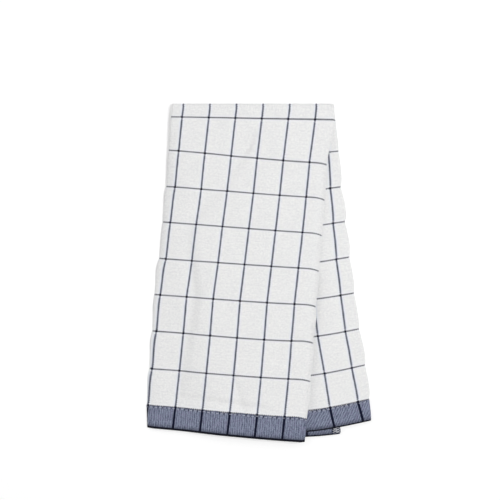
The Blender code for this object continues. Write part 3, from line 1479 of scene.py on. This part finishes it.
    def hem_trim(
        self,
        shader: Shader,
        slate: bpy.types.NodeSocket,
        u: Value,
        hem: HemPlace,
        off_warp: Value,
        fine: Value,
    ) -> bpy.types.NodeSocket:
        """Finish a hem: lines, dark yarn at top, painted shade at end and stitch holes, overlocked
        corners.

        Args:
            shader: The material's nodes.
            slate: The twill's colour.
            u: The place across the cloth.
            hem: The place in the hem.
            off_warp: The distance from the nearest line along the cloth.
            fine: Fine noise over the cloth.

        Returns:
            The hem's colour.
        """
        from_hem = hem.from_end
        ragged = (fine - 0.5) * 0.5
        depth = self.cloth.hem_depth
        line = (off_warp + ragged).over(self.hem_line_half + 0.1, self.hem_line_half - 0.25)
        colour = shader.blend(line, slate, self.hem_line)
        top = (abs(from_hem + hem.tufts - (depth - 0.5)) + ragged).over(0.8, 0.3)
        patchy = shader.noise(shader.vector(u * 0.25, 1.0), detail=1.0).over(0.35, 0.6)
        # Painted shade: dark ticks in the stitch holes between the stitches, in patches along the hem.
        tick = abs(self.from_line(u, 0.0, self.stitch_pitch)).over(0.8, 0.2)
        tick = tick * from_hem.over(depth - 2.5, depth - 1.8) * patchy
        colour = shader.blend(top * patchy * 0.45, colour, self.hem_line)
        colour = shader.blend(tick * 0.85, colour, self.hem_line)
        # Painted shade of the hem's rounded end: darker over its last 6 mm, then a near-black band
        # end_depth deep, narrower in the back hem.
        shade = from_hem.over(6.0, 1.5) * 0.48
        colour = shader.blend(shade, colour, self.hem_end_shade)
        to_end = from_hem + hem.at_back * self.back_end_less + ragged * 1.4
        end = to_end.over(self.end_depth + 0.3, self.end_depth - 0.4)
        colour = shader.blend(end, colour, self.hem_end_shade)
        side = u.least(self.cloth.width - u).over(self.overlock_reach + 0.4, self.overlock_reach - 0.2)
        return shader.blend(side * 0.85, colour, self.overlocked)


@dataclass(frozen=True)
class SewingThread:
    """Pale twisted sewing thread."""

    name: str
    light: Tone = tone(200, 202, 214)
    dark: Tone = tone(136, 140, 160)
    twist: float = 0.55

    def material(self) -> bpy.types.Material:
        """Build the finish.

        Returns:
            The material.
        """
        shader = Shader(self.name)
        along, turn = shader.cloth_place()
        ply = (along + turn * (MM * self.twist)).wave(self.twist)
        patchy = shader.noise(shader.vector(along, turn), scale=0.8)
        colour = shader.blend(ply * 0.7 + patchy * 0.3, self.dark, self.light)
        sockets = {"Strength": 0.6, "Distance": MM, "Height": ply * 0.05}
        bump = shader.node("ShaderNodeBump", None, sockets)
        shader.fill(shader.surface, "Base Color", colour)
        shader.fill(shader.surface, "Normal", bump.outputs[0])
        shader.fill(shader.surface, "Roughness", 0.7)
        shader.fill(shader.surface, "Sheen Weight", 0.2)
        return shader.material


# Studio ------------------------------------------------------------------------------------


@dataclass(frozen=True)
class SoftBox:
    """A square light that shines on the middle of the towel, in metres and watts."""

    name: str
    place: tuple[float, float, float]
    size: float
    power: float

    def build(self, aim: Vector) -> None:
        """Hang the light.

        Args:
            aim: What it is turned to, in metres.
        """
        lamp = bpy.data.lights.new(self.name, "AREA")
        lamp.shape = "SQUARE"
        lamp.size = self.size
        lamp.energy = self.power
        box = bpy.data.objects.new(self.name, lamp)
        bpy.context.scene.collection.objects.link(box)
        box.location = self.place
        box.rotation_euler = (aim - box.location).to_track_quat("-Z", "Y").to_euler()


@dataclass(frozen=True)
class Studio:
    """A pale floor, soft light, and the camera straight above, as in the photograph.

    The photograph's frame is frame_size wide at focus_height, which is near the top of the
    towel. The floor's size and the lights' are in metres.
    """

    frame_size: float = 450.0
    aim: Point = (-8.17, 20.0)
    lens: float = 85.0
    sensor: float = 36.0
    focus_height: float = 8.0
    floor_size: float = 6.0
    floor_tone: Tone = (0.68, 0.68, 0.68, 1.0)
    floor_glow: float = 0.35
    sky: float = 0.4
    lights: tuple[SoftBox, ...] = (
        SoftBox("key_light", (0.6, 0.12, 1.66), 0.5, 18.4),
        SoftBox("left_light", (-1.4, 0.7, 1.15), 1.1, 6.2),
        SoftBox("right_light", (1.2, 0.9, 1.1), 1.1, 1.0),
    )

    def build(self) -> None:
        """Set up the floor, the lights and the camera."""
        self.lay_floor()
        self.light()
        self.set_camera()

    def lay_floor(self) -> None:
        """Lay the floor that the towel rests on."""
        half = self.floor_size / 2
        mesh = bpy.data.meshes.new("floor")
        corners = [(-half, -half, 0.0), (half, -half, 0.0), (half, half, 0.0), (-half, half, 0.0)]
        mesh.from_pydata(corners, [], [(0, 1, 2, 3)])
        shader = Shader("pale_floor")
        shader.fill(shader.surface, "Base Color", self.floor_tone)
        shader.fill(shader.surface, "Roughness", 0.9)
        shader.fill(shader.surface, "Specular IOR Level", 0.1)
        shader.fill(shader.surface, "Emission Color", (1.0, 1.0, 1.0, 1.0))
        shader.fill(shader.surface, "Emission Strength", self.floor_glow)
        mesh.materials.append(shader.material)
        floor = bpy.data.objects.new("floor", mesh)
        bpy.context.scene.collection.objects.link(floor)
        floor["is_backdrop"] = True

    def light(self) -> None:
        """Light the towel softly from above."""
        scene = bpy.context.scene
        world = bpy.data.worlds.new("studio")
        world.use_nodes = True
        backdrop = world.node_tree.nodes["Background"]
        backdrop.inputs["Color"].default_value = (1.0, 1.0, 1.0, 1.0)
        backdrop.inputs["Strength"].default_value = self.sky
        scene.world = world
        aim = Vector((self.aim[0] * MM, self.aim[1] * MM, 0.0))
        for box in self.lights:
            box.build(aim)
        scene.view_settings.view_transform = "Standard"

    def set_camera(self) -> None:
        """Hang the camera over the towel, at the height that gives the photograph's frame."""
        camera = bpy.data.cameras.new("camera")
        camera.lens = self.lens
        camera.sensor_width = self.sensor
        height = self.focus_height + self.frame_size * self.lens / self.sensor
        holder = bpy.data.objects.new("camera", camera)
        bpy.context.scene.collection.objects.link(holder)
        holder.location = (self.aim[0] * MM, self.aim[1] * MM, height * MM)
        bpy.context.scene.camera = holder


# The whole towel ---------------------------------------------------------------------------


@dataclass
class TeaTowel:
    """The towel: its cloth, and the thread of its hems and side edges."""

    lie: FoldedLie = field(default_factory=FoldedLie)

    def build(self) -> list[bpy.types.Object]:
        """Make and dress every piece.

        Returns:
            The cloth and then its sewing.
        """
        sheet = TowelSheet(self.lie)
        hemming = HemStitching(sheet)
        cloth = sheet.build(CheckedCotton(self.lie.cloth, hemming.pitch).material())
        hems = hemming.build(SewingThread("hem_thread").material())
        white = SewingThread("overlock_thread", tone(232, 233, 236), tone(168, 171, 182))
        sides = SelvedgeOverlock(sheet).build(white.material())
        for piece in (cloth, hems, sides):
            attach(piece, BODY)
        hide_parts(TOWEL_NODE)
        flat = (self.lie.cloth.width * MM, self.lie.cloth.length * MM)
        return [cloth, hems, sides]


def write_sizes() -> None:
    """Work out the CAD model's box and the visual model's box."""
    boxes = {"cad": cad_box, "visual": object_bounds()}
    plain = {name: [list(corner) for corner in box] for name, box in boxes.items()}


def main() -> None:
    """Build the towel and the studio, and report each piece."""
    logging.basicConfig(level=logging.INFO, format="%(message)s")
    for piece in TeaTowel().build():
        piece.data.calc_loop_triangles()
        log.info("%s: %d triangles", piece.name, len(piece.data.loop_triangles))
    Studio().build()
    write_sizes()


if __name__ == "__main__":
    main()
